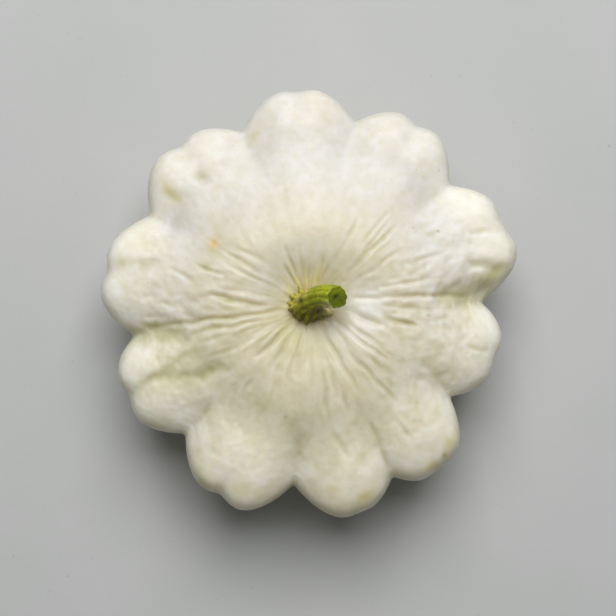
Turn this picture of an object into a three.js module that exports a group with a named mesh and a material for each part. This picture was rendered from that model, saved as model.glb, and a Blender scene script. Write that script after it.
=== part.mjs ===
// White scallop squash, also called pattypan, lying on its blossom end with its cut stem up.
// Millimetres, +Z up. +X is right and +Y is up in the photograph, which looks straight down.
// The origin is in the middle of the fruit's bounding box, on the surface that it lies on.
import * as THREE from "three";

// Driving dimensions of the fruit
const REACH = 79; // from the axis to the rim of a common lobe
const RIM_HEIGHT = 35; // where the scalloped edge stands out furthest
const FOOT_RADIUS = 19; // flat spot that the fruit rests on
const SEAT_RADIUS = 9; // floor of the dimple that the stem stands in
const SEAT_HEIGHT = 57.8;
const SHOULDER_RADIUS = 27; // highest ring, round the dimple
const SHOULDER_HEIGHT = 63;
const LOBING_FADE = 3; // power by which the lobes fade towards the axis
const LOBE_LIFT = 0.3; // how much a lobe's top rises with each mm that the lobe reaches further
const LIFT_START = 42; // radius from which it rises
const LIFT_END = 68; // radius from which it has its full rise
const LIFT_RISE = 14; // height above the rim over which it comes in
const CREASE_RISE = 6; // height above the rim over which the creases come in

// Profile of the fruit without its lobes, from the edge of the flat foot up and in to the dimple:
// radius and height
const PROFILE = [
  [FOOT_RADIUS, 0], [36, 2], [51, 6.6], [64, 13.6], [73, 21.4], [77.6, 28.4],
  [REACH, RIM_HEIGHT], [78.6, 41.8], [75.2, 48.8], [67, 52.4], [58, 53.9], [48, 56.8], [37, 61],
  [SHOULDER_RADIUS, SHOULDER_HEIGHT], [18, 61.4], [SEAT_RADIUS, SEAT_HEIGHT],
];

// Swollen tops of the lobes, level from their radius out to the rim: angle, radius, spread in
// degrees, spread inwards and height
const SWELLS = [
  [21, 66, 9, 8, 0.9], [59, 68, 10, 8, 0.9], [93, 69, 10, 8, 1.0], [130, 67, 10, 8, 0.9],
  [171, 63, 10, 7, 1.8], [207, 62, 9, 7, 1.6], [245, 61, 11, 7, 2.8], [283, 62, 10, 7, 2.0],
  [309, 61, 9, 7, 1.8], [344, 58, 9, 7, 1.6],
];
// Hollows of the top: angle, radius, spread in degrees, spread in mm and height
const HOLLOWS = [
  [243, 43, 12, 7, -0.7], [212, 44, 10, 7, -0.6], [255, 26, 38, 8, -2.2], [355, 25, 24, 8, -1.4],
];

// Driving dimensions of the stem
const SEAT_GAP = 0.3; // between the stem and the floor of the dimple
const STEM_RIBS = 10;
const RIB_HEIGHT = 0.35;
const FOOT_SPREAD = 2.1; // how far the ribs flare out where the stem meets the fruit
const FLARE_LENGTH = 0.22; // part of the stem's length that flares
const CUT_LENGTH = 0.35; // part of the stem's length that leans into the slanting cut
const CUT_RISE = 56; // degrees that the cut face looks up
const CUT_TURN = -10; // degrees from +X towards +Y that it looks
const PITH_RADIUS = 0.9;
const PITH_DEPTH = 0.8;

// Mesh fineness
const FRUIT_SEGMENTS = 136;
const PROFILE_STEPS = 40;
const STEM_SEGMENTS = 4 * STEM_RIBS;
const STEM_STEPS = 14;

// Bumps of the scalloped edge, two or three to a lobe: angle in degrees, reach, and fall in mm a
// degree
const BUMPS = [
  [16, 80.5, 1.7], [21.5, 78.6, 1.5], [28, 79.1, 1.5],
  [54, 79.5, 1.4], [64, 79.5, 1.4],
  [89.5, 80.4, 1.3], [97, 80.3, 1.3],
  [124, 77.4, 1.15], [136, 78.9, 1.2],
  [165, 77.9, 1.1], [176, 78.1, 1.4],
  [202, 76.7, 1.45], [212, 77.3, 1.3],
  [240.5, 79.1, 1.45], [250.5, 80.8, 1.6],
  [280, 80.6, 1.5], [285.5, 79.4, 1.65],
  [305, 78.1, 1.7], [310, 78.4, 1.6], [314, 77.5, 2.1],
  [339, 72.3, 1.5], [343, 71.8, 1.5], [349, 73.1, 1.3],
];
const BUMP_ROUNDNESS = 8; // degrees
const BUMP_BLEND = 1;

// Creases that run out from the stem: angle and radius at the inner end, angle and radius at the
// outer end, depth and half width
const CREASES = [
  // Towards +X, with the long straight one
  [10, 16, 3.5, 67, 1.6, 2.2],
  [5, 46, 3, 84, 1.6, 4.5],
  [24, 37, 21, 53, 0.9, 1.8],
  [24, 62, 24, 76, 0.9, 2.0],
  // Towards +Y
  [40, 19, 43, 44, 1.3, 1.7],
  [58, 20, 61, 36, 1.0, 1.7],
  [113, 9, 113, 24, 1.0, 1.4],
  [139, 58, 142, 70, 0.9, 2.6],
  [137, 23, 142, 34, 0.9, 1.7],
  [147.5, 20, 147, 45, 0.9, 1.8],
  [160, 33, 160.5, 45, 0.9, 1.8],
  // Towards -X, with the deepest one
  [182, 16, 174, 38, 2.3, 2.2],
  [176, 38, 174, 48, 0.9, 2.0],
  [190.5, 10, 188, 68, 1.4, 1.9],
  [192, 46, 189.5, 84, 1.4, 4],
  [198, 19, 193, 46, 1.2, 1.8],
  [202, 47, 206, 76, 1.3, 2.2],
  // Towards -Y
  [219, 34, 207.5, 64, 1.1, 2.8],
  [223.5, 10, 225, 28, 1.3, 1.6],
  [225, 54, 226, 68, 1.2, 2.0],
  [265.5, 48, 266.5, 68, 0.6, 2.6],
  [281, 23, 280, 48, 1.0, 2.0],
  [298.5, 11, 300, 38, 1.0, 1.8],
  [297.5, 49, 296, 72, 1.0, 2.0],
  [309, 23, 312.5, 47, 0.9, 1.8],
  [328.5, 11, 327, 31, 1.4, 1.7],
  [333, 17, 331.5, 33, 1.0, 1.7],
  [333, 51, 328, 67, 1.1, 2.2],
  [352, 15, 344, 28, 1.2, 2.2],
  [350, 28, 349, 41, 1.3, 1.9],
];
const CREASE_BANK = 0.45; // how high the banks beside a crease rise, against its depth

// Middle line of the stem above the floor of the dimple, and its radius along it
const STEM_LINE = [
  [-0.3, -0.3, 0],
  [-0.5, -0.3, 2],
  [-0.4, 0.5, 4.8],
  [0.9, 2.1, 8],
  [3.4, 3.2, 10.9],
  [6.5, 3.3, 13.2],
  [9.9, 2.7, 15.3],
];
const STEM_RADII = [5.2, 4.1, 3.4, 3.1, 3.3, 3.5, 3.6];

const skin = new THREE.MeshStandardMaterial({ color: 0xe4dfcc, roughness: 0.5, metalness: 0 });
const stemGreen = new THREE.MeshStandardMaterial({ color: 0x6e8a1c, roughness: 0.6, metalness: 0 });

// 0 to 1 with level ends, as part runs from 0 to 1
function ease(part) {
  return (1 - Math.cos(Math.PI * THREE.MathUtils.clamp(part, 0, 1))) / 2;
}

// Signed difference between two angles, in degrees
function turn(from, to) {
  return THREE.MathUtils.euclideanModulo(to - from + 180, 360) - 180;
}

// How far the rim reaches at an angle: rounded wedges that blend where they meet
function rimReach(degrees) {
  const sum = BUMPS.reduce((total, [angle, reach, fall]) => {
    const off = Math.hypot(turn(angle, degrees), BUMP_ROUNDNESS) - BUMP_ROUNDNESS;
    return total + Math.exp((reach - fall * off) / BUMP_BLEND);
  }, 0);
  return BUMP_BLEND * Math.log(sum);
}

// One crease across its width: a groove with a low bank on each side
function creaseSection(across) {
  return (1 - CREASE_BANK * across * across) * Math.exp((-across * across) / 2);
}

// A place in plan by its angle and radius
function planPlace(degrees, radius) {
  const angle = THREE.MathUtils.degToRad(degrees);
  return new THREE.Vector2(radius * Math.cos(angle), radius * Math.sin(angle));
}

// How deep all creases together cut at a place of the top. Each is straight, seen from above.
function creaseDepth(place) {
  return CREASES.reduce((total, [startAngle, start, endAngle, end, depth, halfWidth]) => {
    const inner = planPlace(startAngle, start);
    const way = planPlace(endAngle, end).sub(inner);
    const offset = place.clone().sub(inner);
    const along = offset.dot(way) / way.lengthSq();
    if (along <= 0 || along >= 1) return total;
    const across = offset.cross(way) / way.length() / halfWidth;
    return total + depth * Math.sqrt(Math.sin(Math.PI * along)) * creaseSection(across);
  }, 0);
}

// Profile of the round body, from the middle of the foot up to the middle of the dimple
function fruitProfile() {
  const knots = PROFILE.map(([radius, height]) => new THREE.Vector2(radius, height));
  const curve = new THREE.SplineCurve(knots).getPoints(PROFILE_STEPS);
  return [new THREE.Vector2(0, 0), ...curve, new THREE.Vector2(0, SEAT_HEIGHT)];
}

// A soft round patch of the top, by its angle, radius, spreads and height
function moundHeight(degrees, radius, [angle, middle, wide, long, height]) {
  const across = turn(angle, degrees) / wide;
  const along = (radius - middle) / long;
  return height * Math.exp(-(across * across + along * along) / 2);
}

// How far the lobes' tops and the hollows lift or lower the top at a place
function swellHeight(degrees, radius) {
  const hollows = HOLLOWS.reduce((total, patch) => total + moundHeight(degrees, radius, patch), 0);
  return SWELLS.reduce((total, patch) => {
    return total + moundHeight(degrees, Math.min(radius, patch[1]), patch);
  }, hollows);
}

// The round body pushed out into its lobes, swollen on top and creased
function fruitGeometry() {
  const geometry = new THREE.LatheGeometry(fruitProfile(), FRUIT_SEGMENTS).rotateX(Math.PI / 2);
  const positions = geometry.attributes.position;
  const normals = geometry.attributes.normal;
  const point = new THREE.Vector3();
  const outward = new THREE.Vector3();
  for (let index = 0; index < positions.count; index++) {
    point.fromBufferAttribute(positions, index);
    outward.fromBufferAttribute(normals, index);
    const radius = Math.hypot(point.x, point.y);
    const degrees = THREE.MathUtils.radToDeg(Math.atan2(point.y, point.x));
    const extraReach = rimReach(degrees) - REACH;
    const lobing = 1 + (extraReach / REACH) * (radius / REACH) ** LOBING_FADE;
    const aboveRim = point.z - RIM_HEIGHT;
    if (aboveRim > 0) {
      const nearRim = ease((radius - LIFT_START) / (LIFT_END - LIFT_START));
      const lift = LOBE_LIFT * extraReach * nearRim + swellHeight(degrees, radius);
      const cut = creaseDepth(planPlace(degrees, radius));
      point.z += lift * ease(aboveRim / LIFT_RISE);
      point.addScaledVector(outward, -cut * ease(aboveRim / CREASE_RISE));
    }
    positions.setXYZ(index, point.x * lobing, point.y * lobing, point.z);
  }
  geometry.computeVertexNormals();
  return geometry;
}

// Profile of the straightened stem: x is the radius, y the part of the length
function stemProfile() {
  const points = [new THREE.Vector2(0, 0)];
  for (let step = 0; step <= STEM_STEPS; step++) {
    const part = step / STEM_STEPS;
    const place = part * (STEM_RADII.length - 1);
    const knot = Math.min(Math.floor(place), STEM_RADII.length - 2);
    const radius = THREE.MathUtils.lerp(STEM_RADII[knot], STEM_RADII[knot + 1], place - knot);
    points.push(new THREE.Vector2(radius, part));
  }
  points.push(new THREE.Vector2(PITH_RADIUS, 1), new THREE.Vector2(0, 1));
  return points;
}

// The stem bent along its middle line, ribbed, flared at its foot and cut on a slant
function stemGeometry() {
  const line = new THREE.CatmullRomCurve3(STEM_LINE.map((place) => new THREE.Vector3(...place)));
  const frames = line.computeFrenetFrames(STEM_STEPS, false);
  const rise = THREE.MathUtils.degToRad(CUT_RISE);
  const cutNormal = new THREE.Vector3(Math.cos(rise), 0, Math.sin(rise));
  cutNormal.applyAxisAngle(new THREE.Vector3(0, 0, 1), THREE.MathUtils.degToRad(CUT_TURN));
  const geometry = new THREE.LatheGeometry(stemProfile(), STEM_SEGMENTS);
  const positions = geometry.attributes.position;
  for (let index = 0; index < positions.count; index++) {
    const part = positions.getY(index);
    const angle = Math.atan2(positions.getX(index), positions.getZ(index));
    const bare = Math.hypot(positions.getX(index), positions.getZ(index));
    const step = Math.round(part * STEM_STEPS);
    const flare = 1 - ease(part / FLARE_LENGTH);
    const ribs = (Math.cos(STEM_RIBS * angle) + 1) / 2;
    const radius = bare > PITH_RADIUS ? bare + ribs * (RIB_HEIGHT + FOOT_SPREAD * flare) : bare;
    const offset = frames.normals[step].clone().multiplyScalar(radius * Math.cos(angle));
    offset.addScaledVector(frames.binormals[step], radius * Math.sin(angle));
    const along = frames.tangents[step];
    const lean = ease((part - 1 + CUT_LENGTH) / CUT_LENGTH);
    const slant = (-offset.dot(cutNormal) / along.dot(cutNormal)) * lean;
    const place = line.getPointAt(part).add(offset).addScaledVector(along, slant);
    if (part === 0) place.z = 0;
    if (part === 1 && bare === 0) place.addScaledVector(along, -PITH_DEPTH);
    positions.setXYZ(index, place.x, place.y, place.z);
  }
  geometry.computeVertexNormals();
  return geometry;
}

function namedMesh(name, geometry, material) {
  const mesh = new THREE.Mesh(geometry, material);
  mesh.name = name;
  return mesh;
}

const fruit = namedMesh("fruit", fruitGeometry(), skin);
const stem = namedMesh("stem", stemGeometry(), stemGreen);
stem.position.z = SEAT_HEIGHT + SEAT_GAP;

const squash = new THREE.Group();
squash.add(fruit, stem);

const middle = new THREE.Box3().setFromObject(fruit).getCenter(new THREE.Vector3());
squash.position.set(-middle.x, -middle.y, 0);

export default squash;
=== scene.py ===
"""White pattypan squash on a plain pale floor, seen from straight above."""

import math

import bpy
import numpy as np
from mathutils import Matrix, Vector, noise


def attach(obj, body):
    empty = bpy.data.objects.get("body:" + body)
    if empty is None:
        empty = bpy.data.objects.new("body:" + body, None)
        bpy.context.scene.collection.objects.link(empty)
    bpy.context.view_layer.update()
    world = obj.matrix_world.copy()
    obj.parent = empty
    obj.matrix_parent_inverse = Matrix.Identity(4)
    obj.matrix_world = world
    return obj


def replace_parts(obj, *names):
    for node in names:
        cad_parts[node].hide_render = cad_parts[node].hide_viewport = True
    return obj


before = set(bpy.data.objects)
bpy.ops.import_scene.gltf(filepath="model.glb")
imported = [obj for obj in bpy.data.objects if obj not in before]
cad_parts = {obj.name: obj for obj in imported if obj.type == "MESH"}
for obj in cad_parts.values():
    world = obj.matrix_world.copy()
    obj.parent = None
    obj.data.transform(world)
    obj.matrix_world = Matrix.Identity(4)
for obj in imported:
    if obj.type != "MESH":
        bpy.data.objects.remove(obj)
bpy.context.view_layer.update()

MM = 0.001

# Form of the fruit, in millimetres
REACH = 79
RIM_HEIGHT = 35
FOOT_RADIUS = 19
SEAT_HEIGHT = 57.8
# Radius from which the underside has all of its relief
RELIEF_RADIUS = 31
# Radius and height of the profile, from the edge of the flat foot up and in to the dimple
PROFILE = [
    (FOOT_RADIUS, 0), (36, 2), (51, 6.6), (64, 13.6), (73, 21.4), (77.6, 28.4),
    (REACH, RIM_HEIGHT), (78.6, 41.8), (75.2, 48.8), (67, 52.4), (58, 53.9), (48, 56.8),
    (37, 61), (27, 63), (18, 61.4), (9, SEAT_HEIGHT), (4.5, 57.3), (0.5, 57.3),
]
# Power of the radius by which the lobes fade inwards, and how far their tops rise with their reach
LOBING_FADE = 3
LOBE_LIFT = 0.3
LIFT_START, LIFT_END = 42, 68
# Height above the rim over which the lobes' rise, the fine forms and the creases of the top fade in
LIFT_RISE = 14
TOP_RISE = 10
CREASE_RISE = 6

# Swollen tops of the lobes, level from their radius out to the rim: angle, radius, spread in degrees,
# spread inwards in mm and height in mm
SWELLS = [
    (21, 66, 9, 8, 0.9), (59, 68, 10, 8, 0.9), (93, 69, 10, 8, 1.0), (130, 67, 10, 8, 0.9),
    (171, 63, 10, 7, 1.8), (207, 62, 9, 7, 1.6), (245, 61, 11, 7, 2.8), (283, 62, 10, 7, 2.0),
    (309, 61, 9, 7, 1.8), (344, 58, 9, 7, 1.6),
]
# Hollows of the top: angle, radius, spread in degrees, spread in mm and height in mm
HOLLOWS = [
    (243, 43, 12, 7, -0.7), (212, 44, 10, 7, -0.6), (255, 26, 38, 8, -2.2), (355, 25, 24, 8, -1.4),
]

# Bumps of the scalloped edge: angle in degrees, reach in mm, and fall in mm a degree
BUMPS = [
    (16, 80.5, 1.7), (21.5, 78.6, 1.5), (28, 79.1, 1.5),
    (54, 79.5, 1.4), (64, 79.5, 1.4),
    (89.5, 80.4, 1.3), (97, 80.3, 1.3),
    (124, 77.4, 1.15), (136, 78.9, 1.2),
    (165, 77.9, 1.1), (176, 78.1, 1.4),
    (202, 76.7, 1.45), (212, 77.3, 1.3),
    (240.5, 79.1, 1.45), (250.5, 80.8, 1.6),
    (280, 80.6, 1.5), (285.5, 79.4, 1.65),
    (305, 78.1, 1.7), (310, 78.4, 1.6), (314, 77.5, 2.1),
    (339, 72.3, 1.5), (343, 71.8, 1.5), (349, 73.1, 1.3),
]
# How round a bump's end is, in degrees, and how softly bumps blend at the rim and further in
BUMP_ROUNDNESS = 8.0
BUMP_BLEND = 1.0
INNER_BLEND = 4.0
# Radius from which the lobes begin to be as sharp as at the rim, and from which they are
SHARP_START, SHARP_END = 52, 76

# Creases of the top: angle and radius at the inner end, angle and radius at the outer end, depth and
# half width, in degrees and millimetres
CREASES = [
    # Towards +X
    (10, 15, 3.5, 68, 0.65, 0.9),
    (15, 22, 12, 52, 0.39, 0.8),
    (24, 37, 21, 53, 0.45, 0.8),
    (30, 48, 31, 60, 0.33, 0.9),
    (24.5, 64, 21, 77, 0.39, 1),
    (15, 58, 10, 76, 1.3, 1.8),
    (5, 46, 3, 84, 1.6, 4.5),
    (28, 16, 31, 40, 0.26, 0.8),
    # Towards +Y
    (40, 17, 42.5, 44, 0.49, 0.8),
    (42, 22, 46.5, 43, 0.33, 0.7),
    (49, 30, 49.5, 45, 0.26, 0.8),
    (58, 18, 61, 36, 0.29, 0.9),
    (70, 8, 73, 18, 0.39, 0.6),
    (88, 38, 89, 50, 0.13, 1),
    (98, 9, 101, 22, 0.26, 0.6),
    (112, 7, 113, 23, 0.59, 0.6),
    (121.5, 7, 122.5, 17, 0.59, 0.6),
    (103, 36, 103, 44, 0.24, 1.6),
    (108.5, 49, 109, 59, 0.24, 1.4),
    (130, 58, 131, 66, 0.4, 2),
    (139, 56, 142, 71, 0.3, 2.4),
    (136.5, 23, 142, 34, 0.45, 0.8),
    (147.5, 20, 147, 45, 0.45, 0.8),
    (160, 32, 160.5, 45, 0.45, 0.8),
    (153, 14, 154, 34, 0.26, 0.7),
    (168.5, 43, 165, 53, 0.39, 0.9),
    # Towards -X
    (182, 15, 174, 38, 1.1, 1),
    (176, 36, 174, 48, 0.45, 1),
    (181, 48, 178.5, 58, 0.33, 1),
    (184.5, 54, 183.5, 66, 0.39, 1),
    (168, 14, 170, 34, 0.39, 0.8),
    (190.5, 9, 188, 69, 0.75, 0.9),
    (198, 18, 193, 46, 0.59, 0.8),
    (199, 29, 199, 41, 0.26, 0.7),
    (202, 46, 206.5, 77, 0.64, 1.9),
    (165, 56, 168.5, 76, 0.5, 2.4),
    (192, 46, 189.5, 84, 1.4, 4),
    (211, 22, 210, 31, 0.45, 0.8),
    (210.5, 30, 207, 42, 0.33, 0.8),
    # Towards -Y
    (219, 34, 207.5, 64, 0.8, 3.2),
    (223.5, 8, 225, 28, 0.8, 0.9),
    (225, 50, 226, 68, 0.56, 1.8),
    (232, 33, 233, 43, 0.33, 0.9),
    (236, 12, 238, 30, 0.26, 0.8),
    (246, 22, 248, 42, 0.2, 1),
    (258, 10, 260, 28, 0.2, 0.8),
    (265.5, 48, 266.5, 68, 0.48, 2.6),
    (270, 12, 270, 34, 0.2, 0.9),
    (281, 22, 280, 48, 0.45, 1),
    (280, 47, 285, 58, 0.45, 1),
    (287, 26, 287, 36, 0.26, 0.8),
    (291, 33, 290, 43, 0.33, 0.8),
    (298.5, 10, 300, 38, 0.65, 0.9),
    (297.5, 48, 296, 73, 0.59, 1),
    (309, 22, 312.5, 47, 0.45, 0.9),
    (306, 52, 308, 61, 0.33, 1),
    (318, 26, 319, 38, 0.33, 0.8),
    (328.5, 10, 325, 35, 0.7, 0.7),
    (333, 16, 331.5, 33, 0.59, 0.8),
    (333, 50, 328, 68, 0.72, 1.4),
    (352, 14, 344, 28, 0.8, 1.4),
    (350, 27, 349, 42, 0.72, 0.9),
    (351, 42, 355, 53, 0.45, 0.9),
    (345, 61, 345.5, 73, 0.52, 0.9),
    (359, 24, 358, 54, 0.26, 0.8),
]
# How high the banks beside a crease rise against its depth, how far it wanders off its line and over
# what length, in mm, and the least and most of its depth that is there
CREASE_BANK = 0.45
CREASE_WANDER = 0.7
WANDER_LENGTH = 8
CREASE_LEAST, CREASE_MOST = 0.3, 1.6

# Warty patches: angle, radius, spread in degrees, spread in mm and height in mm
WARTY_PATCHES = [
    (14, 48, 16, 16, 0.52),
    (178, 46, 18, 14, 0.5),
    (208, 55, 22, 18, 0.3),
    (235, 58, 18, 14, 0.15),
    (282, 50, 30, 16, 0.15),
    (345, 48, 18, 16, 0.4),
    (318, 60, 16, 14, 0.2),
]
# Lumps in them, by how many there are round the stem and their length, and grains: sizes and heights
LUMPS_ROUND, LUMP_LENGTH, LUMP_HEIGHT = 14, 6, 0.9
GRAIN_SIZE, GRAIN_HEIGHT, WARTY_GRAIN_HEIGHT = 2.2, 0.08, 0.45
# Low uneven swells of the whole skin, from a radius inside which they fade
UNEVEN_SIZE, UNEVEN_HEIGHT, UNEVEN_RADIUS = 20, 0.4, 40

# Where the fine wrinkles round the stem are strongest: angle, radius, spreads and height
WRINKLED_PATCHES = [
    (5, 32, 22, 13, 0.22),
    (45, 26, 14, 9, 0.15),
    (148, 28, 24, 11, 0.25),
    (195, 32, 24, 14, 0.38),
    (230, 24, 24, 11, 0.4),
    (285, 30, 32, 12, 0.26),
    (335, 26, 22, 12, 0.13),
]
# Fineness round the stem and length in mm of the wide and thin wrinkles, and how far they bend, in
# radians over mm
WIDE_RAYS, WIDE_LENGTH = 4.5, 22
THIN_RAYS, THIN_LENGTH = 12, 12
RAY_BEND, RAY_BEND_LENGTH = 0.10, 14
# A wrinkle's height and roundness, how deep it lies and the height of the thin ones on it
WRINKLE_HEIGHT = 2.4
WRINKLE_ROUNDNESS = 0.003
WRINKLE_DROP = 0.4
THIN_HEIGHT = 0.5
# Faint wrinkles everywhere, and the radii over which wrinkles fade in and the faint ones out again
FAINT_WRINKLES = 0.08
STRONG_IN = (5, 13)
FAINT_IN = (6, 18)
FAINT_OUT = (30, 60)

# Blossom scar in the flat spot: a shallow round hollow with a low ring in it, in mm
SCAR_RADIUS, SCAR_SLOPE, SCAR_DEPTH = 7.5, 1.5, 0.9
SCAR_RING_RADIUS, SCAR_RING_WIDTH, SCAR_RING_HEIGHT = 3.2, 1.1, 0.5

# Coloured marks on the skin, stains and also patches of painted light and painted shade: right and up
# from the middle, spread across and along the line from the stem, in mm, name of the colour and strength
MARKS = [
    (-35.1, 22.3, 2.0, 1.7, "amber", 0.85),
    (-37.7, 14.0, 1.7, 2.0, "leaf", 0.4),
    (-50.0, 40.0, 1.5, 5.0, "leaf", 0.4),
    (-51, 41.5, 2.4, 6, "straw", 0.4),
    (-40.4, 47.2, 2.2, 1.8, "leaf", 0.3),
    (-21.9, 64.9, 3.0, 2.5, "straw", 0.35),
    (20.4, 24.9, 0.9, 1.6, "leaf", 0.5),
    (46.8, 26.8, 0.5, 0.5, "bark", 0.7),
    (44.2, 25.7, 1.6, 1.4, "leaf", 0.25),
    (31.3, 4.9, 0.5, 1.6, "bark", 0.5),
    (30.9, -6.8, 0.7, 1.2, "tan", 0.6),
    (43.8, -3.8, 0.5, 0.7, "bark", 0.6),
    (61.9, -4.2, 2.4, 2.4, "straw", 0.35),
    (-29.6, 1.5, 0.7, 2.8, "leaf", 0.6),
    (-22.3, -0.8, 0.6, 1.4, "bark", 0.4),
    (-58.5, -6.4, 0.8, 1.0, "leaf", 0.7),
    (-8.7, -40.8, 0.5, 0.7, "leaf", 0.8),
    (-39.2, -65.7, 4.0, 2.6, "leaf", 0.45),
    (50.2, -55.8, 1.0, 1.3, "leaf", 0.9),
    (52.6, -51.6, 2.4, 2.0, "straw", 0.7),
    (44.7, -59.8, 2.6, 1.6, "straw", 0.7),
    (20.4, -69.8, 3.4, 2.2, "straw", 0.7),
    (8, -67, 2.2, 1.8, "straw", 0.5),
    (5.3, -25.3, 0.7, 3.2, "leaf", 0.3),
    # Painted shade: olive patches in the hollows between the lower lobes, away from the light
    (-42, -22, 10, 12, "olive_mottle_and_shade", 0.35),
    (-54, -28, 4, 9, "olive_mottle_and_shade", 0.3),
    (-22, -36, 10, 12, "olive_mottle_and_shade", 0.25),
    (-6, -44, 9, 12, "olive_mottle_and_shade", 0.25),
    (20, -40, 8, 10, "straw", 0.2),
    # Painted highlight on the right lobe's bulge, and painted shade on its flank and in the notch below
    (65.9, 21.9, 5, 6, "rim", 0.7),
    (68.7, 11.3, 3.2, 6, "olive_mottle_and_shade", 0.8),
    (54, 3, 3, 7, "olive_mottle_and_shade", 0.35),
    (-60, 22, 5, 8, "straw", 0.2),
    (-69, 15.5, 1.4, 4, "leaf", 0.25),
    # Painted light: a lift of the dimple's shaded slope, bright patches by the stem, and light where the
    # stem's shadow falls
    (0.5, 22, 18, 5, "cream", 0.9),
    (21, 0, 9, 8, "painted_light_white", 0.8),
    (20, 1, 3, 7, "rim", 0.9),
    (8, -10, 3, 3, "rim", 0.6),
    (17, -11, 8, 9, "painted_light_white", 0.5),
    (-16, 9, 9, 8, "painted_light_white", 0.5),
    # Painted shade below the stem
    (-4, -13, 12, 7, "olive_mottle_and_shade", 0.45),
    (-7, -10, 3, 3, "olive_mottle_and_shade", 0.3),
]
COLOURS = {
    # The first white below is painted light: paler skin up the picture, towards the light, and bright
    # patches
    "painted_light_white": (0.745, 0.72, 0.685),
    "cream": (0.775, 0.735, 0.615),
    # The pale white below serves random pale blotches, and also painted light on the outer rims and in
    # bright patches
    "rim": (0.87, 0.845, 0.785),
    "inner": (0.695, 0.635, 0.50),
    # The yellow below is the underside's own colour, carried up the low sides as painted shade
    "belly_and_shade_yellow": (0.66, 0.625, 0.44),
    # The olive below serves random dark blotches, and also painted shade in creases, hollows and dark
    # patches
    "olive_mottle_and_shade": (0.52, 0.48, 0.22),
    "straw": (0.68, 0.58, 0.26),
    "leaf": (0.42, 0.42, 0.12),
    "tan": (0.58, 0.40, 0.14),
    "amber": (0.72, 0.52, 0.22),
    "bark": (0.32, 0.22, 0.07),
}
# Where the skin's colours and its painted light and shade give way to each other: radii and heights in
# mm, and the sine of the angle
INNER_TO_OUTER = (24, 50)
OUTER_TO_LIT_RIM = (58, 72)
LIT_RIM_TO_OUTER = (0.5, 1)
CREAM_TO_PAINTED_LIGHT = (-0.5, 0.6)
SIDE_TO_BELLY_AND_SHADE = (RIM_HEIGHT + 12, RIM_HEIGHT - 18)
LEE_RIM_SHADE_IN = (62, 74)
PALE_BLOTCHES_IN = (30, 50)
# Strength of the skin's tints, some of them painted shade, and the relief in mm at which a crease or
# hollow has all of its painted shade
LEE_RIM_SHADE_TINT = 0.32
DARK_BLOTCH_TINT = 0.16
PALE_BLOTCH_TINT = 0.3
CLOUD_TINT = 0.18
CREASE_SHADE_TINT = 0.55
CREASE_SHADE_DEPTH = 1.1
RIDGE_TINT = 1.2
SCAR_TINT = 0.75
# Size of the blotches and clouds in mm, and how strong the blotches are on the middle line
BLOTCH_SIZE = 7
CLOUD_SIZE = 16
BLOTCH_MEAN = 1.4
# Rays of yellow and of green round the stem: radius in mm, fineness and length in mm of the wide and
# thin ones, and strength: the mean, how much more up the picture, and how much for each kind of ray
RAY_RADIUS = 11.5
YELLOW_RAYS, YELLOW_LENGTH = 5, 12
GREEN_RAYS, GREEN_LENGTH = 13, 9
RAY_TINT, RAY_UP_TINT = 0.75, 0.35
YELLOW_MEAN, YELLOW_TINT, GREEN_TINT = 0.75, 0.8, 1.6
# Radius in mm and strength of the brown edge round the stem
BROWN_RADIUS = 8.5
BROWN_TINT = 0.4
# Radii in mm between which the scar's brown fades in, and radius and width of its dark ring
SCAR_IN = (9, 6.5)
SCAR_DARK_RADIUS, SCAR_DARK_WIDTH = 4.4, 1.2

# Thin ridges of the skin that run up to the stem's foot: angle, middle radius, spread in degrees,
# spread along in mm and height in mm
FOOT_RIDGES = [
    (117, 8.4, 4, 2.2, 0.7), (148, 8.6, 4, 1.8, 0.7), (76, 9.6, 4, 2.6, 0.7), (96, 8.0, 4, 1.6, 0.5),
    (186, 7.8, 5, 1.8, 0.5), (168, 8.0, 3, 1.6, 0.4), (345, 7.6, 6, 1.6, 0.5), (30, 7.6, 5, 1.6, 0.4),
    (268, 7.4, 4, 1.4, 0.4), (232, 7.6, 4, 1.4, 0.4), (312, 7.8, 4, 1.8, 0.4),
]

# Middle line of the stem above the floor of the dimple, and its radius along it, in mm
STEM_LINE = [
    (-0.3, -0.3, 0),
    (-0.5, -0.3, 2),
    (-0.4, 0.5, 4.8),
    (0.9, 2.1, 8),
    (3.4, 3.2, 10.9),
    (6.5, 3.3, 13.2),
    (9.9, 2.7, 15.3),
]
STEM_RADII = (4.9, 4.1, 3.4, 3.1, 3.3, 3.45, 3.45)
# Ribs of the stem: angle and half width in degrees, height in mm
RIBS = [
    (8, 13, 0.5), (47, 15, 0.35), (84, 13, 0.6), (128, 16, 0.4), (171, 13, 0.6), (214, 16, 0.45),
    (252, 12, 0.6), (288, 12, 0.35), (325, 15, 0.55),
]
# How far the ribs wander, in degrees, and how uneven the stem is, in mm, each with its number of waves
# along the stem
RIB_WANDER, RIB_WAVES = 5, 3
STEM_UNEVENNESS, STEM_WAVES = 0.3, 6
# How many uneven places there are round it
STEM_FINENESS = 1.2
# Part of the stem's length over which it flares into its foot
FLARE_LENGTH = 0.36
# Low fleshy knobs on the foot: angle, part of the stem's length, half width in degrees and in
# length, and height in mm
KNOBS = [
    (150, 0.17, 15, 0.05, 0.9), (190, 0.16, 13, 0.05, 0.8), (232, 0.17, 12, 0.06, 0.7),
    (268, 0.19, 11, 0.06, 0.9), (300, 0.17, 11, 0.05, 0.7), (338, 0.14, 12, 0.05, 0.8),
    (170, 0.2, 6, 0.05, -0.9), (250, 0.2, 5, 0.06, -0.6), (285, 0.2, 5, 0.06, -0.6),
    (318, 0.2, 6, 0.06, -0.7),
]
# The cut: the part of the length that leans to it, and its direction's rise and turn, in degrees
CUT_LENGTH = 0.35
CUT_RISE = 56
CUT_TURN = -10
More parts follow.
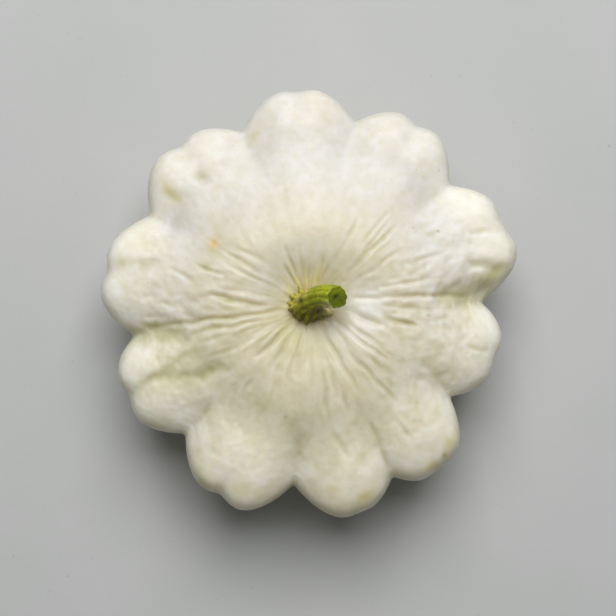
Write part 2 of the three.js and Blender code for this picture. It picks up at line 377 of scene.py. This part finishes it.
# How far the foot's lowest rings sink into the skin, in mm, and how many they are
STEM_SINK = 0.9
SINK_RINGS = 4
# Reach of the foot between its lobes, in mm, and the lobes: angle, reach in mm and half width in degrees
FOOT_BASE = 4.9
FEET = [
    (2, 7.4, 9), (38, 5.6, 7), (74, 7.4, 5), (96, 6.6, 6), (117, 8.8, 4.5), (134, 7.4, 6), (150, 9.0, 5),
    (171, 8.6, 7), (190, 8.4, 7), (212, 7.2, 7), (236, 6.8, 8), (264, 7.4, 8), (291, 6.6, 7),
    (316, 7.6, 7), (341, 9.4, 10),
]
# The cut face from its edge to the pith: part of the radius and depth in mm
CUT_FACE = [
    (0.95, -0.05), (0.85, 0.12), (0.7, 0.2), (0.5, 0.15), (0.34, 0.2), (0.22, 0.3), (0.12, 0.7),
    (0.04, 0.8),
]
# How dark the cut face is from its pith to its edge: part of the radius and strength
FACE_SHADE = [(0.1, 0.75), (0.3, 0.3), (0.6, 0.12), (0.9, 0.2), (1, 0)]
# How far the pith lies off the middle of the cut, how rough the cut is and the size of its grains, in mm,
# and how many grains there are from its middle to its edge
PITH_SHIFT = -0.2
FACE_GRAIN, FACE_GRAIN_SIZE, FACE_GRAIN_COUNT = 0.06, 0.5, 4
# The cut's lighter side, from and to a place up the picture in mm, and the strengths of its light tints
FACE_LIT = (2, 6)
FACE_SIDE_TINT, FACE_GRAIN_TINT = 0.5, 1.5
# Colours of the stem's bark by the part of its length
BARK_COLOURS = [(0.0, "straw_foot"), (0.06, "olive"), (0.3, "olive"), (0.45, "green")]
STEM_COLOURS = {
    "straw_foot": (0.62, 0.54, 0.10),
    # The pale foot below is also painted light where the stem's shadow falls
    "pale_foot_and_painted_light": (0.85, 0.78, 0.38),
    "olive": (0.135, 0.125, 0.003),
    "green": (0.25, 0.285, 0.006),
    "dark_green": (0.13, 0.165, 0.004),
    "lit_green": (0.40, 0.44, 0.015),
    # The dark below is painted shade: in the grooves, in dents of the foot, in a pit and on the cut face,
    # most at its sunken pith
    "dark": (0.03, 0.03, 0.003),
    "brown": (0.14, 0.07, 0.01),
}
# Coloured places on the bark: right and up from the middle and spread, in mm, name of the colour and
# strength
STEM_MARKS = [
    (5.5, 6.2, 3.0, "lit_green", 0.8),
    (11.8, 5.2, 1.6, "lit_green", 0.5),
    (-5.0, 3.0, 2.8, "straw_foot", 1.0),
    (-1.6, 5.4, 1.8, "straw_foot", 0.9),
    (-7.0, -0.2, 1.8, "straw_foot", 1.0),
    # Painted shade: a dark spot for a pit in the foot
    (-3.2, 1.8, 0.9, "dark", 0.95),
    # Pale dried foot, made paler still as painted light where the stem's shadow falls
    (7.0, -1.9, 2.8, "pale_foot_and_painted_light", 1.0),
    (-3.0, -4.6, 1.2, "brown", 0.8),
    (-7.6, 1.6, 0.5, "brown", 0.7),
    (-6.6, -1.8, 0.6, "brown", 0.6),
    (-4.6, 0.4, 1.2, "lit_green", 0.6),
]
# Pale streaks of the bark: width, length in mm and strength
STREAK_WIDTH, STREAK_LENGTH, STREAK_TINT = 1.2, 3, 0.35
KNOB_SHADE, KNOB_LIGHT = 1.2, 0.3
# How dark the grooves between the ribs are, how fast the ribs lighten with their height, and the part of
# the length over which the grooves' darkness fades in
GROOVE_SHADE = 0.6
RIB_LIGHT = 3.2
GROOVES_IN = (0.1, 0.3)

# Mesh fineness: points round a full ring, rings in the flat spot, steps between two knots of the profile
# below and above the rim, the radii inside which rings have half and a quarter of the points, points
# round the stem, its rings, and steps between two knots of its middle line
AZIMUTHS = 600
FOOT_RINGS = 14
BELLY_STEPS = 6
TOP_STEPS = 12
FULL_RADIUS = 30
HALF_RADIUS = 12
STEM_SEGMENTS = 160
STEM_STEPS = 90
LINE_STEPS = 50


def turn(start, end):
    """Signed difference between angles, in degrees."""
    return (end - start + 180) % 360 - 180


def ease(part):
    """0 to 1 with level ends."""
    return (1 - np.cos(math.pi * np.clip(part, 0, 1))) / 2


def fade(value, start, end):
    """0 to 1 with level ends, as a value goes from its start to its end."""
    return ease((value - start) / (end - start))


def mounds(degrees, radius, patches):
    """Sum of soft round patches given by angle, radius, spreads and height."""
    total = np.zeros_like(degrees)
    for angle, middle, wide, long, height in patches:
        across = turn(angle, degrees) / wide
        along = (radius - middle) / long
        total += height * np.exp(-(across ** 2 + along ** 2) / 2)
    return total


def swell_height(degrees, radius):
    """How far the lobes' tops and the hollows lift or lower the top, in mm."""
    total = mounds(degrees, radius, HOLLOWS)
    for patch in SWELLS:
        total += mounds(degrees, np.minimum(radius, patch[1]), [patch])
    return total


def noise_at(x, y, z):
    """Perlin noise at many points."""
    places = np.stack(np.broadcast_arrays(x, y, z), axis=1)
    return np.array([noise.noise(place) for place in places.tolist()])


def spotted(x, y, z, size, layer):
    """Noise with spots of a size in mm. Its layers have nothing in common."""
    return noise_at(x / size, y / size, z / size + layer)


def rayed(angle, fineness, along, layer=0):
    """Noise that changes round the middle, more often with a higher fineness, and along the rays."""
    return noise_at(fineness * np.cos(angle), fineness * np.sin(angle), along + layer)


def rim_reach(degrees, blend):
    """How far the rim reaches at an angle: rounded wedges that blend where they meet."""
    total = np.zeros_like(degrees)
    for angle, reach, fall in BUMPS:
        off = np.hypot(turn(angle, degrees), BUMP_ROUNDNESS) - BUMP_ROUNDNESS
        total += np.exp((reach - fall * off) / blend)
    return blend * np.log(total)


def crease_depth(degrees, radius):
    """How deep all the listed creases together cut. Each is nearly straight, seen from above."""
    place = radius * np.exp(1j * np.radians(degrees))
    x, y = place.real / WANDER_LENGTH, place.imag / WANDER_LENGTH
    place = place + CREASE_WANDER * (noise_at(x, y, 0) + 1j * noise_at(x, y, 8))
    uneven = 1 + noise_at(x, y, 16)
    total = np.zeros_like(degrees)
    for start_angle, start, end_angle, end, depth, half_width in CREASES:
        inner = start * np.exp(1j * math.radians(start_angle))
        way = end * np.exp(1j * math.radians(end_angle)) - inner
        offset = (place - inner) / (way / abs(way))
        along = np.clip(offset.real / abs(way), 0, 1)
        across = offset.imag / half_width
        section = (1 - CREASE_BANK * across ** 2) * np.exp(-(across ** 2) / 2)
        total += depth * np.sqrt(np.sin(math.pi * along)) * section
    return total * np.clip(uneven, CREASE_LEAST, CREASE_MOST)


def spline(knots, steps):
    """Points of a smooth curve through the knots, with this many steps between each two."""
    knots = np.array(knots, dtype=float)
    knots = np.vstack([knots[0], knots, knots[-1]])
    points = []
    for (a, b, c, d), count in zip(zip(knots, knots[1:], knots[2:], knots[3:]), steps):
        for t in np.arange(count) / count:
            points.append(0.5 * (2 * b + (c - a) * t + (2 * a - 5 * b + 4 * c - d) * t ** 2
                                 + (3 * b - a - 3 * c + d) * t ** 3))
    return np.array(points + [knots[-1]])


def fruit_profile():
    """Radius and height of every ring, from the foot up and in to the dimple."""
    rim = PROFILE.index((REACH, RIM_HEIGHT))
    steps = [BELLY_STEPS] * rim + [TOP_STEPS] * (len(PROFILE) - 1 - rim)
    foot = [(FOOT_RADIUS * step / FOOT_RINGS, 0.0) for step in range(1, FOOT_RINGS)]
    return np.vstack([foot, spline(PROFILE, steps)])


def top_height(radius):
    """Height of the smooth top at a radius."""
    rim = FOOT_RINGS + BELLY_STEPS * PROFILE.index((REACH, RIM_HEIGHT))
    top = fruit_profile()[:rim:-1]
    return np.interp(radius, top[:, 0], top[:, 1])


def ring_count(radius):
    """How many points a ring of this radius has: fewer where it is small."""
    if radius >= FULL_RADIUS:
        return AZIMUTHS
    return AZIMUTHS // 2 if radius >= HALF_RADIUS else AZIMUTHS // 4


def band_faces(low, low_count, high, high_count):
    """Faces between two rings, given the first index and the count of each."""
    faces = []
    if low_count == high_count:
        for i in range(low_count):
            j = (i + 1) % low_count
            faces.append((low + i, low + j, high + j, high + i))
    elif high_count == 2 * low_count:
        for i in range(low_count):
            j = (i + 1) % low_count
            left, mid, right = high + 2 * i, high + 2 * i + 1, high + (2 * i + 2) % high_count
            faces += [(low + i, low + j, mid), (low + i, mid, left), (low + j, right, mid)]
    else:
        for i in range(high_count):
            j = (i + 1) % high_count
            left, mid, right = low + 2 * i, low + 2 * i + 1, low + (2 * i + 2) % low_count
            faces += [(high + j, high + i, mid), (left, mid, high + i), (mid, right, high + j)]
    return faces


def ring_mesh(profile, counts):
    """Points as arrays of degrees, radius, height and outward slope, and the faces of a closed body."""
    steps = np.gradient(profile, axis=0)
    lengths = np.hypot(steps[:, 0], steps[:, 1])
    out, up = steps[:, 1] / lengths, -steps[:, 0] / lengths
    degrees = np.concatenate([np.arange(count) * 360 / count for count in counts])
    table = np.repeat(np.column_stack([profile, out, up]), counts, axis=0)
    starts = np.concatenate([[0], np.cumsum(counts)])
    faces = []
    for ring in range(len(counts) - 1):
        faces += band_faces(int(starts[ring]), counts[ring], int(starts[ring + 1]), counts[ring + 1])
    bottom, top = len(degrees), len(degrees) + 1
    last = int(starts[-2])
    faces += [(bottom, (i + 1) % counts[0], i) for i in range(counts[0])]
    faces += [(top, last + i, last + (i + 1) % counts[-1]) for i in range(counts[-1])]
    poles = [(0, profile[0, 1], 0, -1), (0, profile[-1, 1], 0, 1)]
    return np.append(degrees, [0, 0]), np.vstack([table, poles]), faces


def wrinkles(degrees, radius, bent):
    """Fine wrinkles that run out from the stem, in mm, along rays at a bent angle in radians."""
    wide = rayed(bent, WIDE_RAYS, radius / WIDE_LENGTH)
    thin = rayed(bent, THIN_RAYS, radius / THIN_LENGTH, layer=7)
    strong = mounds(degrees, radius, WRINKLED_PATCHES) * fade(radius, *STRONG_IN)
    faint = FAINT_WRINKLES * fade(radius, *FAINT_IN) * (1 - fade(radius, *FAINT_OUT))
    ridges = WRINKLE_HEIGHT * np.sqrt(wide ** 2 + WRINKLE_ROUNDNESS) - WRINKLE_DROP
    return (strong + faint) * (ridges + THIN_HEIGHT * thin)


def skin_relief(degrees, radius, height):
    """Height of the skin above the smooth form, in mm: the top has its own forms besides the grains."""
    angle = np.radians(degrees)
    x, y = radius * np.cos(angle), radius * np.sin(angle)
    bent = angle + RAY_BEND * spotted(x, y, 0, RAY_BEND_LENGTH, layer=0)
    top = fade(height, RIM_HEIGHT, RIM_HEIGHT + TOP_RISE)
    warty = mounds(degrees, radius, WARTY_PATCHES) * top
    lumps = LUMP_HEIGHT * warty * rayed(bent, LUMPS_ROUND, radius / LUMP_LENGTH)
    grains = (GRAIN_HEIGHT + WARTY_GRAIN_HEIGHT * warty) * spotted(x, y, height, GRAIN_SIZE, layer=5)
    swells = spotted(x, y, height, UNEVEN_SIZE, layer=3)
    uneven = UNEVEN_HEIGHT * swells * fade(radius, 0, UNEVEN_RADIUS)
    creases = crease_depth(degrees, radius) * fade(height, RIM_HEIGHT, RIM_HEIGHT + CREASE_RISE)
    ridges = wrinkles(degrees, radius, bent) + mounds(degrees, radius, FOOT_RIDGES)
    return top * ridges + lumps + grains + uneven - creases


def scar_relief(radius):
    """The blossom scar, whose hollow goes up into the fruit."""
    hollow = SCAR_DEPTH * fade(radius, SCAR_RADIUS, SCAR_RADIUS - SCAR_SLOPE)
    ring = SCAR_RING_HEIGHT * np.exp(-(((radius - SCAR_RING_RADIUS) / SCAR_RING_WIDTH) ** 2))
    return ring - hollow


def plain(colour, count):
    """The same colour at many points."""
    return np.tile(np.array(colour), (count, 1))


def mixed(colour, other, weight):
    """Colours moved towards another by a weight at each point."""
    weight = np.clip(weight, 0, 1)[:, None]
    return colour * (1 - weight) + np.array(other) * weight


def ground_colour(angle, radius, height):
    """The skin's colour before its marks: painted light up the picture and on the side rims, yellow
    painted shade on the low rim and low sides, yellower underneath.
    """
    x, y, up = radius * np.cos(angle), radius * np.sin(angle), np.sin(angle)
    # Painted light: paler up the picture, towards the light
    outer = mixed(plain(COLOURS["cream"], len(angle)), COLOURS["painted_light_white"], fade(up, *CREAM_TO_PAINTED_LIGHT))
    # Painted light on the outer rims, except at the top of the picture
    painted_light_rim = fade(radius, *OUTER_TO_LIT_RIM) * (1 - fade(up, *LIT_RIM_TO_OUTER))
    outer = mixed(outer, COLOURS["rim"], painted_light_rim)
    colour = mixed(plain(COLOURS["inner"], len(angle)), outer, fade(radius, *INNER_TO_OUTER))
    # Yellower underneath, carried up the low sides as painted shade
    colour = mixed(colour, COLOURS["belly_and_shade_yellow"], fade(height, *SIDE_TO_BELLY_AND_SHADE))
    # Painted shade: a yellower rim down the picture, away from the light
    lee_rim_shade = fade(radius, *LEE_RIM_SHADE_IN) * np.clip(-up, 0, 1)
    colour = mixed(colour, COLOURS["straw"], LEE_RIM_SHADE_TINT * lee_rim_shade)
    # Random blotches, strongest down the picture, away from the light, where their dark part adds painted
    # shade
    blotches = spotted(x, y, height, BLOTCH_SIZE, layer=20) * (BLOTCH_MEAN - up)
    colour = mixed(colour, COLOURS["olive_mottle_and_shade"], DARK_BLOTCH_TINT * np.clip(blotches, 0, 1))
    pale = np.clip(-blotches, 0, 1) * fade(radius, *PALE_BLOTCHES_IN)
    colour = mixed(colour, COLOURS["rim"], PALE_BLOTCH_TINT * pale)
    clouds = np.clip(spotted(x, y, height, CLOUD_SIZE, layer=9), 0, 1)
    return mixed(colour, COLOURS["straw"], CLOUD_TINT * clouds)


def stem_rays(colour, angle, radius, top):
    """The colour with yellow and green rays and a brown edge round the stem, on the top only."""
    yellow = rayed(angle, YELLOW_RAYS, radius / YELLOW_LENGTH)
    green = rayed(angle, GREEN_RAYS, radius / GREEN_LENGTH, layer=4)
    near = top * np.exp(-((radius / RAY_RADIUS) ** 2)) * (RAY_TINT + RAY_UP_TINT * np.sin(angle))
    edge = top * np.exp(-((radius / BROWN_RADIUS) ** 4))
    colour = mixed(colour, COLOURS["straw"], near * (YELLOW_MEAN + YELLOW_TINT * yellow))
    colour = mixed(colour, COLOURS["leaf"], near * np.clip(GREEN_TINT * green, 0, 1))
    return mixed(colour, COLOURS["tan"], edge * (BROWN_TINT + green))


def skin_colour(degrees, radius, height, relief):
    """Colour of the skin at every point."""
    angle = np.radians(degrees)
    x, y = radius * np.cos(angle), radius * np.sin(angle)
    top = (height >= RIM_HEIGHT).astype(float)
    colour = ground_colour(angle, radius, height)
    # Painted shade: olive in the creases and hollows of the relief, by their depth
    hollow = np.clip(-relief / CREASE_SHADE_DEPTH, 0, 1) * top
    colour = mixed(colour, COLOURS["olive_mottle_and_shade"], CREASE_SHADE_TINT * hollow)
    colour = stem_rays(colour, angle, radius, top)
    colour = mixed(colour, COLOURS["straw"], RIDGE_TINT * mounds(degrees, radius, FOOT_RIDGES) * top)
    for right, up, across, along, name, strength in MARKS:
        out = math.hypot(right, up)
        side = (x * up - y * right) / out / across
        forth = ((x * right + y * up) / out - out) / along
        colour = mixed(colour, COLOURS[name], top * strength * np.exp(-(side ** 2 + forth ** 2)))
    scar = (height < 1) * fade(radius, *SCAR_IN)
    colour = mixed(colour, COLOURS["tan"], SCAR_TINT * scar)
    ring = np.exp(-(((radius - SCAR_DARK_RADIUS) / SCAR_DARK_WIDTH) ** 2))
    return mixed(colour, COLOURS["bark"], scar * ring)


def mesh_object(name, points, faces, material):
    """A smooth mesh piece in metres that rides on the root body."""
    mesh = bpy.data.meshes.new(name)
    mesh.from_pydata((np.asarray(points) * MM).tolist(), [], faces)
    mesh.polygons.foreach_set("use_smooth", [True] * len(mesh.polygons))
    mesh.materials.append(material)
    piece = bpy.data.objects.new(name, mesh)
    bpy.context.collection.objects.link(piece)
    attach(piece, "root")
    return piece


def outline_middle():
    """Middle of the outline's box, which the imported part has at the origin."""
    degrees = np.arange(0, 360, 0.25)
    angle, reach = np.radians(degrees), rim_reach(degrees, BUMP_BLEND)
    outline = np.column_stack([reach * np.cos(angle), reach * np.sin(angle)])
    return (outline.min(axis=0) + outline.max(axis=0)) / 2


def paint(piece, name, values):
    """Stores a colour for every point of a piece."""
    layer = piece.data.color_attributes.new(name, "FLOAT_COLOR", "POINT")
    values = np.column_stack([values, np.ones(len(values))])
    layer.data.foreach_set("color", values.astype(np.float32).ravel())


def make_fruit(material):
    """The squash itself."""
    profile = fruit_profile()
    counts = [ring_count(radius) for radius, _ in profile]
    degrees, table, faces = ring_mesh(profile, counts)
    radius, height, out, up = table.T
    sharpness = fade(radius, SHARP_START, SHARP_END)
    soft_reach, sharp_reach = rim_reach(degrees, INNER_BLEND), rim_reach(degrees, BUMP_BLEND)
    extra_reach = (1 - sharpness) * soft_reach + sharpness * sharp_reach - REACH
    relief = skin_relief(degrees, radius, height)
    # On the underside the relief fades towards the flat spot, which has only the scar
    under = relief * fade(radius, FOOT_RADIUS, RELIEF_RADIUS) + scar_relief(radius)
    relief = np.where(height < RIM_HEIGHT, under, relief)
    lobing = 1 + extra_reach / REACH * (radius / REACH) ** LOBING_FADE
    far = (radius + out * relief) * lobing
    lift = LOBE_LIFT * extra_reach * fade(radius, LIFT_START, LIFT_END) + swell_height(degrees, radius)
    z = height + up * relief + lift * fade(height, RIM_HEIGHT, RIM_HEIGHT + LIFT_RISE)
    angle = np.radians(degrees)
    points = np.column_stack([far * np.cos(angle), far * np.sin(angle), z])
    points[:, :2] -= outline_middle()
    piece = mesh_object("squash_fruit", points, faces, material)
    paint(piece, "skin_colour", skin_colour(degrees, radius, height, relief))
    return piece


def stem_line():
    """Places and directions at even steps along the stem's middle line."""
    fine = spline(STEM_LINE, [LINE_STEPS] * (len(STEM_LINE) - 1))
    length = np.concatenate([[0], np.cumsum(np.linalg.norm(np.diff(fine, axis=0), axis=1))])
    even = np.linspace(0, length[-1], STEM_STEPS + 1)
    places = np.column_stack([np.interp(even, length, fine[:, k]) for k in range(3)])
    ways = np.gradient(places, axis=0)
    return places, ways / np.linalg.norm(ways, axis=1)[:, None]


def foot_reach(degrees):
    """How far the foot of the stem spreads on the skin at an angle."""
    reach = np.full_like(degrees, FOOT_BASE)
    for angle, far, half_width in FEET:
        spread = np.exp(-((turn(angle, degrees) / half_width) ** 2) / 2)
        reach = np.maximum(reach, FOOT_BASE + (far - FOOT_BASE) * spread)
    return reach


def stem_bark_colour(part, ribs, knobs, points):
    """Colour of the stem's side, by its length, its ribs and knobs, and its marks."""
    knots = [place for place, _ in BARK_COLOURS]
    table = np.array([STEM_COLOURS[name] for _, name in BARK_COLOURS])
    colour = plain([np.interp(part, knots, table[:, k]) for k in range(3)], len(points))
    for right, up, spread, name, strength in STEM_MARKS:
        apart = np.hypot(points[:, 0] - right, points[:, 1] - up) / spread
        colour = mixed(colour, STEM_COLOURS[name], strength * np.exp(-(apart ** 2)))
    x, y, z = points.T
    streaks = noise_at(x / STREAK_WIDTH, y / STREAK_WIDTH, z / STREAK_LENGTH)
    colour = mixed(colour, STEM_COLOURS["straw_foot"], np.clip(streaks, 0, 1) * STREAK_TINT)
    colour = mixed(colour, STEM_COLOURS["dark"], -KNOB_SHADE * knobs)
    colour = mixed(colour, STEM_COLOURS["lit_green"], KNOB_LIGHT * knobs)
    grooves = 1 - np.clip(RIB_LIGHT * ribs, 0, 1)
    return mixed(colour, STEM_COLOURS["dark"], GROOVE_SHADE * grooves * fade(part, *GROOVES_IN))


def rib_height(degrees, part):
    """Height of the ribs round the stem at a part of its length."""
    degrees = degrees + RIB_WANDER * rayed(np.radians(degrees), 1, part * RIB_WAVES)
    ribs = np.zeros_like(degrees)
    for middle, half_width, height in RIBS:
        ribs = np.maximum(ribs, height * np.exp(-((turn(middle, degrees) / half_width) ** 2) / 2))
    return ribs


def bark_ring(part, place, way, cut):
    """Points and colours of one ring of the stem's side, square to its way or leaning to the cut."""
    degrees = np.arange(STEM_SEGMENTS) * 360 / STEM_SEGMENTS
    angle = np.radians(degrees)
    bare = np.interp(part * (len(STEM_RADII) - 1), range(len(STEM_RADII)), STEM_RADII)
    ribs, knobs = rib_height(degrees, part), mounds(degrees, part, KNOBS)
    radius = bare + ribs + STEM_UNEVENNESS * rayed(angle, STEM_FINENESS, part * STEM_WAVES)
    flare = max(0.0, 1 - part / FLARE_LENGTH) ** 2
    radius = radius + (foot_reach(degrees) - radius) * flare + knobs
    side = np.cross((0, 1, 0), way)
    side /= np.linalg.norm(side)
    other = np.cross(way, side)
    offset = radius[:, None] * (np.outer(np.cos(angle), side) + np.outer(np.sin(angle), other))
    slant = -(offset @ cut) / (way @ cut) * fade(part, 1 - CUT_LENGTH, 1)
    ring = place + offset + slant[:, None] * way
    # The foot follows the dimple's floor and sinks into it
    skin = top_height(np.hypot(ring[:, 0], ring[:, 1])) - SEAT_HEIGHT
    ring[:, 2] += flare * skin - STEM_SINK * max(0.0, 1 - part * STEM_STEPS / SINK_RINGS)
    return ring, stem_bark_colour(part, ribs, knobs, ring)


def face_ring(part, depth, centre, edge, cut):
    """Points and colours of one ring of the cut face, at a part of its radius and at a depth."""
    shift = np.array([PITH_SHIFT * (1 - part), 0, 0])
    x, y = edge[:, 0] / FACE_GRAIN_SIZE, edge[:, 1] / FACE_GRAIN_SIZE
    grain = FACE_GRAIN * noise_at(x, y, part * FACE_GRAIN_COUNT)
    ring = centre + (edge - centre) * part + shift - (depth + grain)[:, None] * cut
    lit = FACE_SIDE_TINT * fade(ring[:, 1], *FACE_LIT) + FACE_GRAIN_TINT * grain
    colour = mixed(plain(STEM_COLOURS["dark_green"], len(ring)), STEM_COLOURS["lit_green"], lit)
    shade = np.interp(part, *zip(*FACE_SHADE))
    return ring, mixed(colour, STEM_COLOURS["dark"], np.full(len(ring), shade))


def make_stem(material):
    """The ribbed stem with its feet and its slanting cut."""
    rise, turned = math.radians(CUT_RISE), math.radians(CUT_TURN)
    cut = np.array([math.cos(rise) * math.cos(turned), math.cos(rise) * math.sin(turned), math.sin(rise)])
    places, ways = stem_line()
    parts = np.arange(STEM_STEPS + 1) / STEM_STEPS
    rings = [bark_ring(part, place, way, cut) for part, place, way in zip(parts, places, ways)]
    edge = rings[-1][0]
    rings += [face_ring(part, depth, places[-1], edge, cut) for part, depth in CUT_FACE]
    points = np.vstack([ring for ring, _ in rings])
    starts = range(0, len(points), STEM_SEGMENTS)
    faces = []
    for start, after in zip(starts, starts[1:]):
        faces += band_faces(start, STEM_SEGMENTS, after, STEM_SEGMENTS)
    faces.append(tuple(range(STEM_SEGMENTS))[::-1])
    faces.append(tuple(range(starts[-1], len(points))))
    points[:, 2] += SEAT_HEIGHT
    points[:, :2] -= outline_middle()
    piece = mesh_object("squash_stem", points, faces, material)
    paint(piece, "stem_colour", np.vstack([colour for _, colour in rings]))
    return piece


def new_material(name):
    """A material with its tree and its shader."""
    material = bpy.data.materials.new(name)
    material.use_nodes = True
    return material, material.node_tree, material.node_tree.nodes["Principled BSDF"]


def add_node(tree, kind, **inputs):
    """A node with some of its inputs set: a link where the value is a socket."""
    node = tree.nodes.new(kind)
    for name, value in inputs.items():
        socket = node.inputs[name.replace("_", " ")]
        if isinstance(value, bpy.types.NodeSocket):
            tree.links.new(value, socket)
        else:
            socket.default_value = value
    return node


def place_noise(tree, scale, detail=3.0):
    """A noise pattern by place on the piece, in metres."""
    place = tree.nodes.new("ShaderNodeTexCoord").outputs["Object"]
    return add_node(tree, "ShaderNodeTexNoise", Vector=place, Scale=scale, Detail=detail).outputs["Fac"]


def mix(tree, factor, first, second, blend="MIX"):
    """A mix of two colours."""
    node = tree.nodes.new("ShaderNodeMix")
    node.data_type = "RGBA"
    node.blend_type = blend
    # Inputs 0, 6 and 7 are the node's factor and its two colours, and output 2 is their mix
    for socket, value in ((0, factor), (6, first), (7, second)):
        if isinstance(value, bpy.types.NodeSocket):
            tree.links.new(value, node.inputs[socket])
        else:
            node.inputs[socket].default_value = value
    return node.outputs[2]


def ramp(tree, factor, stops):
    """A colour ramp from (place, colour) stops."""
    node = add_node(tree, "ShaderNodeValToRGB", Fac=factor)
    elements = node.color_ramp.elements
    while len(elements) < len(stops):
        elements.new(0.5)
    for element, (place, colour) in zip(elements, stops):
        element.position = place
        element.color = (*colour, 1)
    return node.outputs["Color"]


def painted(tree, name):
    """The colour stored on the piece's points."""
    node = tree.nodes.new("ShaderNodeAttribute")
    node.attribute_name = name
    return node.outputs["Color"]


def skin_material():
    """Cream-white waxy skin with faint mottling, pores and freckles."""
    material, tree, shader = new_material("squash_skin")
    colour = painted(tree, "skin_colour")
    mottle = ramp(tree, place_noise(tree, 260, 4), [(0.35, (0.93, 0.93, 0.87)), (0.65, (1, 1, 1))])
    colour = mix(tree, 1.0, colour, mottle, "MULTIPLY")
    freckles = ramp(tree, place_noise(tree, 700, 2), [(0.69, (0, 0, 0)), (0.76, (0.3, 0.3, 0.3))])
    colour = mix(tree, freckles, colour, (*COLOURS["leaf"], 1))
    tree.links.new(colour, shader.inputs["Base Color"])
    dullness = [(0.3, (0.40, 0.40, 0.40)), (0.7, (0.52, 0.52, 0.52))]
    roughness = ramp(tree, place_noise(tree, 120), dullness)
    tree.links.new(roughness, shader.inputs["Roughness"])
    shader.inputs["Subsurface Weight"].default_value = 0.85
    shader.inputs["Subsurface Radius"].default_value = (1, 0.8, 0.5)
    shader.inputs["Subsurface Scale"].default_value = 0.010
    shader.inputs["Specular IOR Level"].default_value = 0.4
    pores = place_noise(tree, 450, 5)
    bump = add_node(tree, "ShaderNodeBump", Strength=0.4, Distance=0.0003, Height=pores)
    tree.links.new(bump.outputs["Normal"], shader.inputs["Normal"])
    return material


def stem_material():
    """Green stem with fine fibres along it and a dull shine."""
    material, tree, shader = new_material("squash_stem")
    streaks = ramp(tree, place_noise(tree, 900, 4), [(0.3, (0.7, 0.7, 0.65)), (0.7, (1.15, 1.15, 1.1))])
    colour = mix(tree, 1.0, painted(tree, "stem_colour"), streaks, "MULTIPLY")
    tree.links.new(colour, shader.inputs["Base Color"])
    dullness = [(0.3, (0.42, 0.42, 0.42)), (0.7, (0.6, 0.6, 0.6))]
    roughness = ramp(tree, place_noise(tree, 600), dullness)
    tree.links.new(roughness, shader.inputs["Roughness"])
    shader.inputs["Specular IOR Level"].default_value = 0.25
    fibres = place_noise(tree, 1300, 4)
    bump = add_node(tree, "ShaderNodeBump", Strength=0.6, Distance=0.0004, Height=fibres)
    tree.links.new(bump.outputs["Normal"], shader.inputs["Normal"])
    return material


def floor_material():
    """Pale grey matt floor with faint blotches and a few specks."""
    material, tree, shader = new_material("floor_grey")
    greys = [(0.35, (0.475, 0.487, 0.48)), (0.65, (0.50, 0.50, 0.50))]
    blotches = ramp(tree, place_noise(tree, 14, 5), greys)
    specks = ramp(tree, place_noise(tree, 420, 2), [(0.72, (0, 0, 0)), (0.78, (0.35, 0.35, 0.35))])
    tree.links.new(mix(tree, specks, blotches, (0.25, 0.26, 0.26, 1)), shader.inputs["Base Color"])
    shader.inputs["Roughness"].default_value = 0.7
    grain = place_noise(tree, 300, 4)
    bump = add_node(tree, "ShaderNodeBump", Strength=0.2, Distance=0.0003, Height=grain)
    tree.links.new(bump.outputs["Normal"], shader.inputs["Normal"])
    return material


# Side of the floor, in metres
FLOOR_SIDE = 6.0


def make_floor():
    """A large flat square under the squash."""
    half = FLOOR_SIDE / 2
    corners = [(-half, -half, 0), (half, -half, 0), (half, half, 0), (-half, half, 0)]
    mesh = bpy.data.meshes.new("floor")
    mesh.from_pydata(corners, [], [(0, 1, 2, 3)])
    mesh.materials.append(floor_material())
    floor = bpy.data.objects.new("floor", mesh)
    bpy.context.collection.objects.link(floor)


# The picture's frame: its side in pixels, the mm of the rim's level in a pixel, and the pixel where the
# middle of the object is. The lens and the sensor are in mm.
PHOTO_SIDE = 616
PIXEL = 0.3774
OBJECT_PIXEL = (309, 304)
LENS = 90
SENSOR = 36


def make_camera():
    """Straight above, with the rim in the photograph's place and size."""
    data = bpy.data.cameras.new("camera")
    data.lens = LENS
    data.sensor_width = SENSOR
    camera = bpy.data.objects.new("camera", data)
    distance = PHOTO_SIDE * PIXEL * LENS / SENSOR
    middle = PHOTO_SIDE / 2
    x = (middle - OBJECT_PIXEL[0]) * PIXEL
    y = (OBJECT_PIXEL[1] - middle) * PIXEL
    camera.location = (x * MM, y * MM, (RIM_HEIGHT + distance) * MM)
    bpy.context.collection.objects.link(camera)
    bpy.context.scene.camera = camera


def area_light(name, place, target, size, power):
    """A soft square light aimed at a point."""
    data = bpy.data.lights.new(name, "AREA")
    data.size = size
    data.energy = power
    light = bpy.data.objects.new(name, data)
    light.location = place
    light.rotation_euler = (Vector(target) - Vector(place)).to_track_quat("-Z", "Y").to_euler()
    bpy.context.collection.objects.link(light)


# Place, aim and side of the main light in metres, its power in watts, and the fill from all round
KEY_PLACE = (0.056, 0.81, 1.38)
KEY_AIM = (0, 0, 0.03)
KEY_SIZE = 1.1
KEY_POWER = 29.2
FILL_COLOUR = (0.97, 1, 0.95, 1)
FILL_STRENGTH = 0.115


def make_light():
    """One large window-like light from the top of the picture, with soft fill from all round."""
    area_light("key", KEY_PLACE, KEY_AIM, KEY_SIZE, KEY_POWER)
    world = bpy.data.worlds.new("studio")
    world.use_nodes = True
    background = world.node_tree.nodes["Background"]
    background.inputs["Color"].default_value = FILL_COLOUR
    background.inputs["Strength"].default_value = FILL_STRENGTH
    bpy.context.scene.world = world
    bpy.context.scene.view_settings.view_transform = "Standard"


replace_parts(make_fruit(skin_material()), "fruit")
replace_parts(make_stem(stem_material()), "stem")
make_floor()
make_camera()
make_light()
